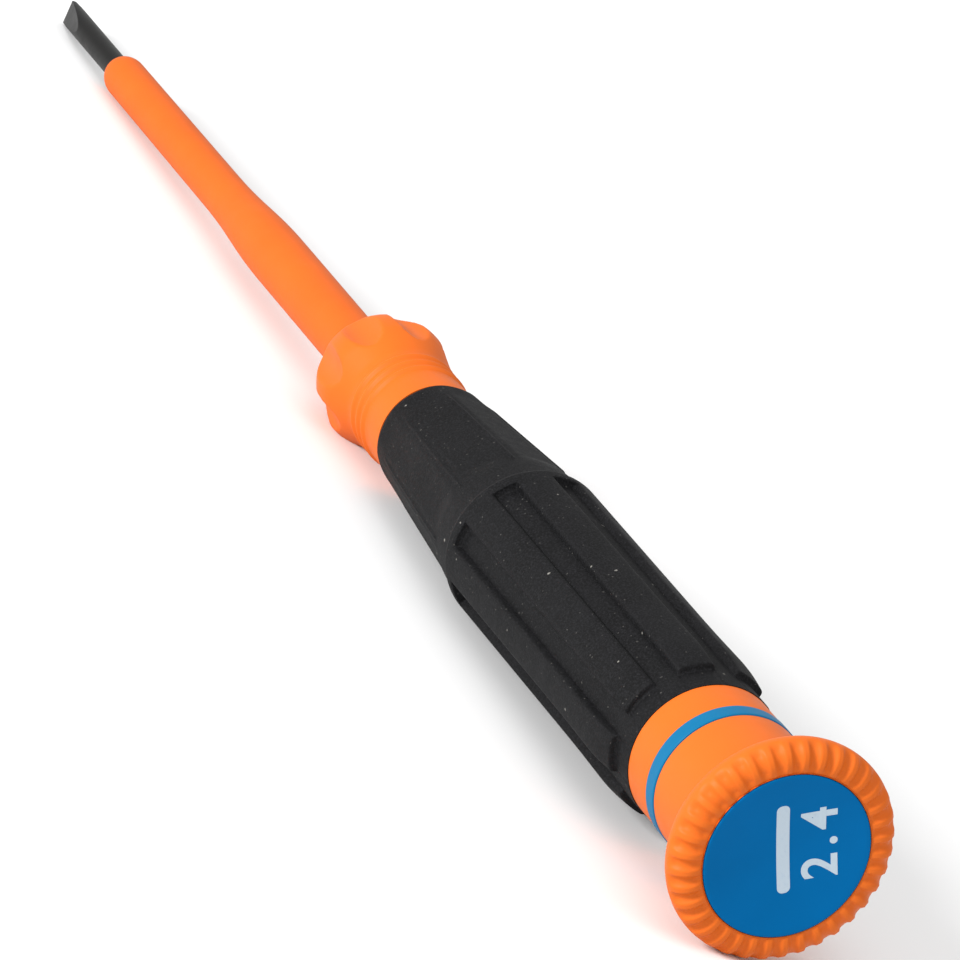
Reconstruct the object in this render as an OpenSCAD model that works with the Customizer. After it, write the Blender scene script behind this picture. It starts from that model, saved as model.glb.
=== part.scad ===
// Insulated precision screwdriver with a free-spinning end cap.
// The tool lies along X with its slotted tip towards +X, and +Z is up.
// The origin is the centre of the spinning cap's end face.

/* [Blade] */
// Width of the slotted tip, which is also the diameter of the bare blade
blade_d = 2.38; // [2.2:0.01:2.6]
// Thickness of the tip's working edge
tip_t = 0.4; // [0.3:0.05:0.6]
// Length of the two ground bevels
bevel_len = 6; // [4:0.5:8]
// Bare blade ahead of the insulation
bare_len = 14.8; // [9:0.1:18]
// Diameter of the shank inside the handle
shank_d = 3.4; // [3:0.1:3.8]
// Shank buried in the handle, from its blunt end to the guard's front
buried_len = 38; // [34:0.5:44]
// Width across the flattened wings that stop the shank turning
wing_w = 6; // [4.5:0.1:6.5]
// Thickness of the wings
wing_t = 1.2; // [1:0.1:2]
// Length of the wings
wing_len = 8; // [5:0.5:10]

/* [Insulation] */
// Outer diameter of the sleeve next to the handle
sleeve_d = 5.4; // [5.2:0.1:6]
// Outer diameter of the sleeve's slim front part
slim_d = 4.3; // [4.1:0.1:4.8]
// Exposed length of the thick part
thick_len = 25; // [15:0.5:40]
// Length of the cone between the two diameters
cone_len = 9.2; // [4:0.2:14]
// Length of the slim part, with its round nose
slim_len = 32.5; // [20:0.5:60]
// Wall of the pale inner layer
inner_wall = 0.35; // [0.25:0.05:0.45]
// Sleeve seated inside the guard
sleeve_root = 11; // [8:0.5:14]
// Radial step from the thick part down to the seated root
root_step = 0.2; // [0.1:0.05:0.3]
// Solid nose of the sleeve that closes on the bare blade
nose_seal = 1.6; // [1:0.1:2]

/* [Grip] */
// Diameter over the soft grip's raised pads
grip_d = 15; // [14.4:0.1:16.5]
// Extra diameter where the pads swell at the rear
grip_swell = 0.26; // [0:0.02:0.4]
// Depth of the channels between the pads
channel_depth = 0.5; // [0.3:0.05:0.7]
// Width of each channel
channel_w = 2.3; // [1.5:0.1:3]
// Number of pads, channels and front flats
pad_count = 8; // [6:2:10]
// Plain rounded zone behind the pads
grip_rear_len = 2.7; // [2:0.1:4]
// Length of the channels
channel_len = 36.7; // [30:0.1:45]
// Plain band between the channels and the shoulder
band_len = 1.4; // [1:0.1:3]
// Length of the shoulder that slopes down to the front part
shoulder_len = 3.8; // [3:0.1:6]
// Diameter at the foot of the shoulder
waist_grip_d = 13.8; // [13.4:0.1:14.2]
// Length of the tapered front part
taper_len = 19.2; // [15:0.1:25]
// Diameter of the soft grip's front lip
lip_d = 10.5; // [10.2:0.1:11]
// How deep the front flats cut below the taper's corners
flat_depth = 0.25; // [0.1:0.05:0.35]
// Wall of the soft grip under the channels
grip_wall = 1.3; // [1:0.1:1.5]

/* [Hard core] */
// Diameter of the neck between the cap and the soft grip
neck_d = 13.4; // [13:0.1:13.8]
// Length of the neck behind the colour ring
neck_len = 7.3; // [5:0.1:10]
// Length of the collar between the colour ring and the soft grip
collar_len = 3.9; // [2:0.1:6]
// Width of the colour ring
ring_w = 1.7; // [1.2:0.1:2.5]
// Radial wall of the colour ring
ring_wall = 0.8; // [0.6:0.1:1.2]
// How far the colour ring stands proud of the neck
ring_proud = 0.1; // [0.05:0.05:0.2]
// Diameter of the slim nose ahead of the soft grip
nose_d = 9.8; // [9.6:0.1:10]
// Length of the nose, up to the guard's rear slope
nose_len = 6.7; // [5.5:0.1:9]
// Diameter of the guard over its lobes
guard_d = 12.26; // [11.8:0.02:13]
// Distance from the nose to the guard's centre
guard_back = 4.9; // [4.5:0.1:5.4]
// Number of lobes on the guard
lobe_count = 8; // [6:1:9]
// Radius of the scoop between two lobes
scoop_r = 2.4; // [2:0.1:3]
// Slope of each scoop's floor, down towards the sleeve, in degrees
scoop_slope = 8.5; // [6:0.5:12]
// Spacing of the fine beads on the nose
bead_pitch = 1.25; // [1:0.05:1.5]
// Height of each bead
bead_r = 0.28; // [0.2:0.02:0.35]

/* [Spinning cap] */
// Diameter of the cap over its rim
cap_d = 19.9; // [19:0.1:22]
// Length of the cap from its end face to its front face
cap_len = 5; // [4.8:0.1:6]
// Radius of the rim's rounded edge
rim_r = 1.7; // [1.6:0.05:1.75]
// Number of flutes round the rim
flute_count = 36; // [24:2:40]
// Radius of each flute
flute_r = 0.6; // [0.5:0.02:0.7]
// Depth of each flute
flute_depth = 0.35; // [0.2:0.05:0.4]
// Diameter of the colour disc
disc_d = 14.6; // [14:0.1:15]
// Thickness of the colour disc
disc_t = 1; // [0.8:0.1:1.1]
// Length of the slot symbol on the disc
mark_len = 8.25; // [6:0.25:10]
// Width of the slot symbol
mark_w = 1.2; // [0.8:0.1:1.6]
// Depth of the slot symbol's inlay
mark_t = 0.2; // [0.1:0.05:0.4]
// Turn of the slot symbol from upright, seen with the cap facing the viewer
mark_turn = -26.6; // [-90:0.1:90]

/* [Pivot] */
// Diameter of the pivot pin
pin_d = 3; // [2.6:0.1:3.2]
// Diameter of the pin's head
pin_head_d = 6; // [5:0.1:6.2]
// Thickness of the pin's head
pin_head_t = 0.8; // [0.6:0.05:1]
// Length of the pin pressed into the core
pin_grip_len = 12; // [8:0.5:20]
// Outer diameter of the bush's sleeve
bush_d = 4.8; // [4.4:0.1:5.2]
// Outer diameter of the bush's flange
bush_flange_d = 7.2; // [6.8:0.1:8]
// Thickness of the bush's flange
bush_flange_t = 0.7; // [0.5:0.1:0.8]
// Diameter of the thrust washer
thrust_d = 9; // [7.5:0.1:10]
// Thickness of the thrust washer
thrust_t = 0.7; // [0.5:0.05:1]
// Diameter of the washer under the pin's head
head_washer_d = 6.4; // [6:0.1:6.6]
// Thickness of the washer under the pin's head
head_washer_t = 0.2; // [0.15:0.05:0.3]

/* [Clearances] */
// Gap between the cap and the neck
cap_gap = 0.3; // [0.2:0.05:0.5]
// Axial play of the cap on each side
end_play = 0.1; // [0.05:0.01:0.15]
// Radial running clearance between the pin and its bush
running_gap = 0.05; // [0.02:0.01:0.09]
// Clearance between the pin and the thrust washer's hole
washer_gap = 0.1; // [0.05:0.05:0.2]
// Clearance between the pin's head and the disc
head_gap = 0.15; // [0.1:0.05:0.3]
// Depth of the disc's rim groove below the end face
rim_set = 0.02; // [0.01:0.01:0.05]

/* [Hidden] */

$fn = 96;
overshoot = 1;
edge = 0.3;

orange = [0.96, 0.43, 0.13];
blue = [0.02, 0.36, 0.66];
black = [0.12, 0.12, 0.13];
steel = [0.72, 0.72, 0.74];

// Stations along the tool, each measured from the cap's end face.
neck_x = cap_len + cap_gap;
ring_x = neck_x + neck_len;
collar_x = ring_x + ring_w;
grip_x = collar_x + collar_len;
channel_x = grip_x + grip_rear_len;
channel_end_x = channel_x + channel_len;
shoulder_x = channel_end_x + band_len;
taper_x = shoulder_x + shoulder_len;
lip_x = taper_x + taper_len;
slope_x = lip_x + nose_len;
guard_x = slope_x + guard_back;
sleeve_x = guard_x + sqrt(pow(guard_d / 2, 2) - pow(sleeve_d / 2, 2));
cone_x = sleeve_x + thick_len;
slim_x = cone_x + cone_len;
sleeve_end_x = slim_x + slim_len;
tip_x = sleeve_end_x + bare_len;

shank_x = sleeve_x - buried_len;
wing_x = shank_x + shank_d;
root_x = sleeve_x - sleeve_root;

// Radii that two pieces share.
blade_r = blade_d / 2;
shank_r = shank_d / 2;
sleeve_r = sleeve_d / 2;
slim_r = slim_d / 2;
root_r = sleeve_r - root_step;
neck_r = neck_d / 2;
nose_r = nose_d / 2;
pad_r = grip_d / 2;
floor_r = pad_r - channel_depth;
core_grip_r = floor_r - grip_wall;
core_lip_r = lip_d / 2 - grip_wall;
pin_r = pin_d / 2;
bush_r = bush_d / 2;
flange_r = bush_flange_d / 2;
disc_r = disc_d / 2;

// Stations inside the cap.
pin_head_x = disc_t + head_gap;
head_washer_x = pin_head_x + pin_head_t;
bush_x = head_washer_x + head_washer_t + end_play;
bush_seat_x = bush_x + bush_flange_t;
thrust_x = cap_len + end_play;
thrust_seat_x = thrust_x + thrust_t;

// Profiles are lists of [radius, station] points, turned about X.
module turned(profile) {
    rotate([0, 90, 0]) rotate_extrude() polygon(profile);
}

// A round bar along X between two stations.
module bar(radius, from, to) {
    translate([from, 0, 0]) rotate([0, 90, 0]) cylinder(r = radius, h = to - from);
}

// Copies of what is drawn on the +Z side, spaced evenly about X.
module around(count, phase = 0) {
    for (i = [0 : count - 1]) rotate([phase + i * 360 / count, 0, 0]) children();
}

// Points of an arc centred on [centre_r, centre_x], its angle measured from +X.
function arc(centre_r, centre_x, radius, from, to, steps) =
    [for (i = [0 : steps]) let (a = from + (to - from) * i / steps)
        [centre_r + radius * sin(a), centre_x + radius * cos(a)]];

function reversed(list) = [for (i = [len(list) - 1 : -1 : 0]) list[i]];

// Outline of the steel from one station inside the guard to another near the nose.
function steel_outline(extra, from, to) =
    [[shank_r + extra, from], [shank_r + extra, cone_x], [blade_r + extra, slim_x], [blade_r + extra, to]];

// Outline of the core where the soft grip covers it.
covered_outline = [[core_grip_r, grip_x], [core_grip_r, shoulder_x], [core_lip_r, lip_x]];

// The part of the steel that the handle is moulded on.
module buried_steel() {
    bar(shank_r, shank_x, sleeve_x);
    translate([wing_x, -wing_t / 2, -wing_w / 2]) cube([wing_len, wing_t, wing_w]);
}

// Space removed above one ground bevel of the tip.
module bevel_cut() {
    fall = (blade_r - tip_t / 2) / bevel_len;
    translate([0, 0, -blade_d])
        linear_extrude(2 * blade_d)
            polygon([
                [tip_x - bevel_len - overshoot, blade_r + fall * overshoot],
                [tip_x + overshoot, tip_t / 2 - fall * overshoot],
                [tip_x + overshoot, blade_d],
                [tip_x - bevel_len - overshoot, blade_d],
            ]);
}

module blade() {
    color([0.2, 0.19, 0.18]) difference() {
        union() {
            buried_steel();
            turned(concat([[0, root_x]], steel_outline(0, root_x, tip_x), [[0, tip_x]]));
        }
        bevel_cut();
        mirror([0, 1, 0]) bevel_cut();
    }
}

module inner_insulation() {
    end_x = sleeve_end_x - nose_seal;
    color([0.93, 0.91, 0.85]) turned(concat(
        steel_outline(inner_wall, root_x, end_x),
        reversed(steel_outline(0, root_x, end_x))));
}

module shank_sleeve() {
    end_x = sleeve_end_x - nose_seal;
    nose_angle = asin(blade_r / slim_r);
    nose_x = sleeve_end_x - slim_r * cos(nose_angle);
    color(orange) turned(concat(
        [[root_r, root_x], [root_r, sleeve_x], [sleeve_r, sleeve_x], [sleeve_r, cone_x], [slim_r, slim_x]],
        arc(0, nose_x, slim_r, 90, nose_angle, 8),
        [[blade_r, end_x]],
        reversed(steel_outline(inner_wall, root_x, end_x))));
}

// Space removed between two lobes of the guard, sloping down to the sleeve.
module scoop() {
    rear_x = guard_x - 2.3;
    translate([rear_x, 0, guard_d / 2 - 0.18])
        rotate([0, 90 + scoop_slope, 0])
            translate([-scoop_r, 0, -guard_d])
                cylinder(r = scoop_r, h = 2 * guard_d);
}

module guard() {
    difference() {
        union() {
            translate([guard_x, 0, 0]) sphere(r = guard_d / 2);
            turned([[0, slope_x], [nose_r, slope_x], [guard_d / 2 - 0.12, guard_x - 1.2], [0, guard_x]]);
        }
        around(lobe_count) scoop();
        bar(guard_d, slope_x - 2 * guard_d, slope_x);
    }
}

module beads() {
    for (i = [-1 : 1])
        translate([slope_x - 2 * bead_pitch + (i + 0.5) * bead_pitch, 0, 0])
            rotate([0, 90, 0]) rotate_extrude() translate([nose_r, 0]) circle(r = bead_r, $fn = 24);
}

module handle_core() {
    ring_seat_r = neck_r + ring_proud - ring_wall;
    color(orange) difference() {
        union() {
            turned(concat(
                [[0, neck_x], [neck_r - edge, neck_x], [neck_r, neck_x + edge], [neck_r, ring_x],
                    [ring_seat_r, ring_x], [ring_seat_r, collar_x], [neck_r, collar_x], [neck_r, grip_x]],
                covered_outline,
                [[nose_r, lip_x], [nose_r, slope_x], [0, slope_x]]));
            guard();
            beads();
        }
        bar(thrust_d / 2, neck_x - overshoot, thrust_seat_x);
        bar(pin_r, neck_x, thrust_seat_x + pin_grip_len);
        buried_steel();
        bar(root_r, root_x, sleeve_x + overshoot);
        bar(sleeve_r, sleeve_x, sleeve_x + overshoot);
    }
}

// Space removed for one channel, with a square front end.
module channel() {
    translate([grip_x - overshoot, -channel_w / 2, floor_r])
        cube([channel_end_x - grip_x + overshoot, channel_w, grip_d]);
}

// Space removed for one flat of the tapered front part.
module front_flat() {
    start_r = waist_grip_d / 2 - flat_depth;
    fall = (waist_grip_d - lip_d) / 2;
    translate([taper_x, 0, start_r])
        rotate([0, atan(fall / taper_len), 0])
            translate([0, -grip_d / 2, 0]) cube([taper_len + 2, grip_d, grip_d]);
}

module grip_sleeve() {
    color(black) difference() {
        turned(concat(
            [[neck_r, grip_x], [floor_r - edge / 2, grip_x + edge * 2], [floor_r, channel_x - edge * 2],
                [pad_r - edge / 2, channel_x + edge], [pad_r + grip_swell / 2, channel_x + 3],
                [pad_r, channel_x + 10], [pad_r, shoulder_x],
                [pad_r - edge, shoulder_x + edge * 2], [waist_grip_d / 2, taper_x],
                [lip_d / 2, lip_x - edge], [lip_d / 2 - edge, lip_x]],
            reversed(covered_outline)));
        around(pad_count) channel();
        around(pad_count) front_flat();
    }
}

module colour_ring() {
    outer_r = neck_r + ring_proud;
    inner_r = outer_r - ring_wall;
    round_off = ring_proud;
    color(blue) turned([
        [inner_r, ring_x], [outer_r - round_off, ring_x], [outer_r, ring_x + round_off],
        [outer_r, collar_x - round_off], [outer_r - round_off, collar_x], [inner_r, collar_x]]);
}

module pivot_pin() {
    end_x = thrust_seat_x + pin_grip_len;
    lead = 0.4;
    color(steel) turned([
        [0, pin_head_x], [pin_head_d / 2 - edge, pin_head_x], [pin_head_d / 2, pin_head_x + edge],
        [pin_head_d / 2, head_washer_x], [pin_r, head_washer_x],
        [pin_r, end_x - lead], [pin_r - lead, end_x], [0, end_x]]);
}

module washer(inner_r, outer_r, from, to) {
    turned([[inner_r, from], [outer_r, from], [outer_r, to], [inner_r, to]]);
}

module thrust_washer() {
    color([0.9, 0.9, 0.88]) washer(pin_r + washer_gap, thrust_d / 2, thrust_x, thrust_seat_x);
}

module head_washer() {
    color(steel) washer(pin_r, head_washer_d / 2, head_washer_x, head_washer_x + head_washer_t);
}

module cap_bush() {
    inner_r = pin_r + running_gap;
    color([0.85, 0.84, 0.8]) turned([
        [inner_r, bush_x], [flange_r, bush_x], [flange_r, bush_seat_x],
        [bush_r, bush_seat_x], [bush_r, cap_len], [inner_r, cap_len]]);
}

// Space removed for one flute, laid along the rim's rounded outer edge.
module flute() {
    crest_r = cap_d / 2 - rim_r;
    translate([rim_set + rim_r, 0, crest_r])
        rotate([0, -45, 0])
            translate([0, 0, rim_r - flute_depth + flute_r])
                rotate([0, 90, 0]) cylinder(r = flute_r, h = 4 * rim_r, center = true, $fn = 24);
}

module spin_cap() {
    crest_r = cap_d / 2 - rim_r;
    rim_x = rim_set + rim_r;
    land_x = rim_set + 0.08;
    skirt_x = rim_x + rim_r * 0.84;
    color(orange) difference() {
        union() {
            translate([rim_x, 0, 0]) rotate([0, 90, 0])
                rotate_extrude() translate([crest_r, 0]) circle(r = rim_r, $fn = 48);
            turned([
                [disc_r, land_x], [crest_r, land_x], [crest_r + rim_r * 0.2, skirt_x],
                [neck_r + (crest_r - neck_r) * 0.55, skirt_x + (cap_len - skirt_x) * 0.3],
                [neck_r + (crest_r - neck_r) * 0.1, skirt_x + (cap_len - skirt_x) * 0.7],
                [neck_r, cap_len - edge], [neck_r - edge, cap_len],
                [bush_r, cap_len], [bush_r, bush_seat_x], [flange_r, bush_seat_x],
                [flange_r, disc_t], [disc_r, disc_t]]);
        }
        around(flute_count) flute();
        bar(disc_r, -overshoot, disc_t);
    }
}

// Outline of the slot symbol, flush with the disc's face.
module mark_solid() {
    half = (mark_len - mark_w) / 2;
    rotate([mark_turn, 0, 0]) rotate([0, 90, 0]) linear_extrude(mark_t) {
        square([2 * half, mark_w], center = true);
        for (side = [-1, 1]) translate([side * half, 0]) circle(d = mark_w);
    }
}

module cap_disc() {
    bevel = 0.1;
    color(blue) difference() {
        turned([[0, 0], [disc_r - bevel, 0], [disc_r, bevel], [disc_r, disc_t], [0, disc_t]]);
        mark_solid();
    }
}

module slot_mark() {
    color("white") mark_solid();
}

blade();
inner_insulation();
shank_sleeve();
handle_core();
grip_sleeve();
colour_ring();
pivot_pin();
thrust_washer();
head_washer();
cap_bush();
spin_cap();
cap_disc();
slot_mark();
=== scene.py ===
"""Insulated precision screwdriver with a spinning cap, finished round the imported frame.

The tool lies along X with its slotted tip towards +X. Lengths in the classes are millimetres,
angles are degrees, and meshes are written in metres.
"""

import logging
import math
from dataclasses import dataclass, field
from enum import Enum
from functools import cache
from typing import Any, Callable, Sequence

import bmesh
import bpy
from mathutils import Matrix, Quaternion, Vector


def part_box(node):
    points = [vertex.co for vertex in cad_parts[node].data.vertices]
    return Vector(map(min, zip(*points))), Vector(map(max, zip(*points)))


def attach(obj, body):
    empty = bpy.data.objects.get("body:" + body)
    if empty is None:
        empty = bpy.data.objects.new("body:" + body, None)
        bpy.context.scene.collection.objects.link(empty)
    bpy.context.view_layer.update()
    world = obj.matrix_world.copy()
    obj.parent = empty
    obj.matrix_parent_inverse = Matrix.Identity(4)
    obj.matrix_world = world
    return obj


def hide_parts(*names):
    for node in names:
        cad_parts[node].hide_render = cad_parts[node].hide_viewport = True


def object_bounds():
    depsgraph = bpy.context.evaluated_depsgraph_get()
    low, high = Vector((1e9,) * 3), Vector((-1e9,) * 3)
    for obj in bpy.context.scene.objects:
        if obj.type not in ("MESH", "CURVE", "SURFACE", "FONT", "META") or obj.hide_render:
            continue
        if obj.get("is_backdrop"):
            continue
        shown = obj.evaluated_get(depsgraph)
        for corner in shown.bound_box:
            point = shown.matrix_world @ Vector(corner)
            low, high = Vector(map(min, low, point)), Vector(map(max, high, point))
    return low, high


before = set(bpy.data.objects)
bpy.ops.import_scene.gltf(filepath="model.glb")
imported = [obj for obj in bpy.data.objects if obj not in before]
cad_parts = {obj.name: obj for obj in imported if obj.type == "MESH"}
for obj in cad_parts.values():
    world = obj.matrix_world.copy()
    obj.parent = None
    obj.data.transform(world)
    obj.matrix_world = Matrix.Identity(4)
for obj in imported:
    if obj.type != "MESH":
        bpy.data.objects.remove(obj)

log = logging.getLogger("screwdriver")

MM = 0.001
"""One millimetre in scene units."""

Colour = tuple[float, float, float, float]
Triple = tuple[float, float, float]

CAD_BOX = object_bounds()


# ---- shader maths


class Value:
    """A shader socket that takes part in Python arithmetic by adding Math nodes."""

    def __init__(self, graph: "Graph", socket: bpy.types.NodeSocket) -> None:
        """Wrap one output socket of a graph."""
        self.graph = graph
        self.socket = socket

    def _math(self, operation: str, *operands: Any) -> "Value":
        """Add one Math node.

        Args:
            operation: Blender's name for the operation.
            operands: Values or numbers, in the node's order.

        Returns:
            The node's result.
        """
        inputs = {index: operand for index, operand in enumerate(operands)}
        return self.graph.add("ShaderNodeMath", {"operation": operation}, inputs).out(0)

    def __add__(self, other: Any) -> "Value":
        """Return self + other."""
        return self._math("ADD", self, other)

    def __radd__(self, other: Any) -> "Value":
        """Return other + self."""
        return self._math("ADD", other, self)

    def __sub__(self, other: Any) -> "Value":
        """Return self - other."""
        return self._math("SUBTRACT", self, other)

    def __rsub__(self, other: Any) -> "Value":
        """Return other - self."""
        return self._math("SUBTRACT", other, self)

    def __mul__(self, other: Any) -> "Value":
        """Return self * other."""
        return self._math("MULTIPLY", self, other)

    def __rmul__(self, other: Any) -> "Value":
        """Return other * self."""
        return self._math("MULTIPLY", other, self)

    def __lt__(self, other: Any) -> "Value":
        """Return 1 where self is less than other, else 0."""
        return self._math("LESS_THAN", self, other)

    def clamped(self) -> "Value":
        """Return self held between 0 and 1."""
        return self._math("MINIMUM", self._math("MAXIMUM", self, 0.0), 1.0)

    def ramp(self, low: float, high: float) -> "Value":
        """Return 0 at low and 1 at high, straight between and held outside."""
        return ((self - low) * (1.0 / (high - low))).clamped()


class Node:
    """A placed shader node, whose outputs are read as values."""

    def __init__(self, graph: "Graph", node: bpy.types.Node) -> None:
        """Wrap one node of a graph."""
        self.graph = graph
        self.node = node

    def out(self, key: int | str) -> Value:
        """Return the output socket with that index or name."""
        return Value(self.graph, self.node.outputs[key])


class Graph:
    """The node tree of one material."""

    def __init__(self, name: str) -> None:
        """Start an empty material with that name."""
        self.material = bpy.data.materials.new(name)
        self.material.use_nodes = True
        self.tree = self.material.node_tree
        self.tree.nodes.clear()

    def add(self, kind: str, settings: dict[str, Any] | None = None,
            inputs: dict[int | str, Any] | None = None) -> Node:
        """Place one node.

        Args:
            kind: Blender's type name for the node.
            settings: The node's own settings, which are made first.
            inputs: Values, vectors or links for its sockets, by name or index.

        Returns:
            The node.
        """
        node = self.tree.nodes.new(kind)
        for name, setting in (settings or {}).items():
            setattr(node, name, setting)
        for key, given in (inputs or {}).items():
            if isinstance(given, Value):
                self.tree.links.new(given.socket, node.inputs[key])
            else:
                node.inputs[key].default_value = given
        return Node(self, node)

    def place_mm(self) -> Value:
        """Return the surface point in the tool's own frame, in millimetres."""
        point = self.add("ShaderNodeTexCoord").out("Object")
        return self.add("ShaderNodeVectorMath", {"operation": "SCALE"}, {0: point, "Scale": 1.0 / MM}).out(0)

    def noise(self, place: Value, size: float, detail: float = 2.0, roughness: float = 0.5) -> Value:
        """Return soft noise from 0 to 1 whose features are about that size in millimetres."""
        inputs = {"Vector": place, "Scale": 1.0 / size, "Detail": detail, "Roughness": roughness}
        return self.add("ShaderNodeTexNoise", None, inputs).out(0)

    def mix(self, factor: Value | float, first: Any, second: Any) -> Value:
        """Return a colour that goes from first to second as factor goes from 0 to 1."""
        settings = {"data_type": "RGBA"}
        return self.add("ShaderNodeMix", settings, {0: factor, 6: first, 7: second}).out(2)

    def bump(self, height: Value, depth: float, below: Value | None = None) -> Value:
        """Return a normal roughened by a height map.

        Args:
            height: The height, from 0 to 1.
            depth: The height's full travel in millimetres.
            below: Another bump's normal to build on.

        Returns:
            The normal.
        """
        inputs: dict[int | str, Any] = {"Height": height, "Distance": depth * MM, "Strength": 1.0}
        if below is not None:
            inputs["Normal"] = below
        return self.add("ShaderNodeBump", None, inputs).out(0)

    def finish(self, inputs: dict[int | str, Any]) -> bpy.types.Material:
        """Close the tree with a Principled shader.

        Args:
            inputs: Values or numbers for the shader's sockets.

        Returns:
            The material.
        """
        shader = self.add("ShaderNodeBsdfPrincipled", None, inputs).out(0)
        self.add("ShaderNodeOutputMaterial", None, {0: shader})
        return self.material


def linear(red: int, green: int, blue: int) -> Colour:
    """Turn a screen colour into scene light.

    Args:
        red: Its red, from 0 to 255.
        green: Its green, likewise.
        blue: Its blue, likewise.

    Returns:
        The colour as scene-linear RGBA.
    """

    def channel(level: int) -> float:
        """Return one channel in linear light."""
        share = level / 255.0
        return share / 12.92 if share <= 0.04045 else ((share + 0.055) / 1.055) ** 2.4

    return channel(red), channel(green), channel(blue), 1.0


def scaled(colour: Colour, factor: float) -> Colour:
    """Return a colour made lighter or darker by a factor."""
    return colour[0] * factor, colour[1] * factor, colour[2] * factor, 1.0


# ---- finishes


@dataclass(frozen=True)
class MouldedPlastic:
    """Hard moulded plastic with the fine matt grain of a spark-eroded mould."""

    name: str
    colour: Colour
    roughness: float
    grain_size: float
    grain_depth: float
    mottle: float
    specular: float = 0.13
    index: float = 1.5
    drift_size: float = 5.0
    wave_size: float = 2.2
    pale: float = 1.25
    pale_cover: float = 0.25
    gloss_drift: float = 0.16
    gloss_grain: float = 0.1

    def material(self) -> bpy.types.Material:
        """Build the material: faint colour drift, uneven gloss and a grained surface.

        Returns:
            The material.
        """
        graph = Graph(self.name)
        place = graph.place_mm()
        drift = graph.noise(place, self.drift_size, 3.0)
        grain = graph.noise(place, self.grain_size, 2.0, 0.6)
        waves = graph.noise(place, self.wave_size, 2.0)
        light = scaled(self.colour, 1.0 + self.mottle)
        dark = scaled(self.colour, 1.0 - self.mottle)
        body = graph.mix(drift.ramp(0.3, 0.7), dark, light)
        colour = graph.mix(grain.ramp(0.62, 0.8) * self.pale_cover, body, scaled(self.colour, self.pale))
        gloss = self.roughness + (waves - 0.5) * self.gloss_drift + (grain - 0.5) * self.gloss_grain
        soft = graph.bump(waves, self.grain_depth * 1.5)
        normal = graph.bump(grain, self.grain_depth, soft)
        return graph.finish({
            "Base Color": colour, "Roughness": gloss.clamped(), "Normal": normal,
            "Specular IOR Level": self.specular, "IOR": self.index,
        })


@dataclass(frozen=True)
class Specks:
    """A scatter of specks, at most one to each cell of a loose lattice."""

    spacing: float
    """Size of a cell in millimetres."""

    size: float
    """Radius of a speck, as a share of the spacing."""

    share: float
    """Share of the cells that hold one."""

    cover: float
    """How far a speck hides what is below it."""


@dataclass(frozen=True)
class SoftRubber:
    """Black soft-touch rubber: a fine dry grain, scuffs and the pale dust that clings to it."""

    name: str
    colour: Colour
    dust: Colour
    roughness: float = 0.66
    specular: float = 0.12
    grain_size: float = 0.17
    grain_depth: float = 0.02
    grain_light: float = 5.0
    cloud_size: float = 6.0
    cloud_dark: float = 0.6
    cloud_light: float = 1.4
    patch_size: float = 1.1
    film_light: float = 3.4
    film_cover: float = 0.4
    wobble_scale: float = 3.0
    wobble: float = 0.35
    fine: Specks = Specks(0.62, 0.14, 0.5, 0.22)
    coarse: Specks = Specks(2.0, 0.075, 0.5, 0.75)

    def _mask(self, graph: Graph, place: Value, specks: Specks) -> Value:
        """Scatter specks.

        Args:
            graph: The tree to build in.
            place: The surface point in millimetres.
            specks: The scatter.

        Returns:
            1 on a speck and 0 elsewhere.
        """
        shift = graph.add("ShaderNodeTexNoise", None, {"Vector": place, "Scale": self.wobble_scale}).out(1)
        scale = {"operation": "SCALE"}
        drift = graph.add("ShaderNodeVectorMath", scale, {0: shift, "Scale": self.wobble}).out(0)
        moved = graph.add("ShaderNodeVectorMath", {"operation": "ADD"}, {0: place, 1: drift}).out(0)
        cells = graph.add("ShaderNodeTexVoronoi", None, {"Vector": moved, "Scale": 1.0 / specks.spacing})
        tint = graph.add("ShaderNodeSeparateColor", None, {0: cells.out("Color")})
        near = 1.0 - cells.out("Distance").ramp(specks.size * 0.5, specks.size)
        return near * (tint.out(0) < specks.share)

    def material(self) -> bpy.types.Material:
        """Build the material: clouded black, a pale grain, a dusty film and two sizes of speck.

        Returns:
            The material.
        """
        graph = Graph(self.name)
        place = graph.place_mm()
        cloud = graph.noise(place, self.cloud_size, 3.0)
        patch = graph.noise(place, self.patch_size, 3.0, 0.6)
        grain = graph.noise(place, self.grain_size, 3.0, 0.65)
        shades = scaled(self.colour, self.cloud_dark), scaled(self.colour, self.cloud_light)
        body = graph.mix(cloud.ramp(0.35, 0.7), *shades)
        grey = graph.mix(grain.ramp(0.45, 0.68), body, scaled(self.colour, self.grain_light))
        film = graph.mix(patch.ramp(0.45, 0.75) * self.film_cover, grey, scaled(self.colour, self.film_light))
        fine = self._mask(graph, place, self.fine)
        coarse = self._mask(graph, place, self.coarse)
        dusty = graph.mix(fine * self.fine.cover, film, self.dust)
        colour = graph.mix(coarse * self.coarse.cover, dusty, self.dust)
        gloss = self.roughness + (patch - 0.5) * 0.22 + fine * 0.1
        soft = graph.bump(patch, self.grain_depth * 1.6)
        normal = graph.bump(grain, self.grain_depth, soft)
        return graph.finish({
            "Base Color": colour, "Roughness": gloss.clamped(), "Normal": normal,
            "Specular IOR Level": self.specular,
        })


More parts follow.
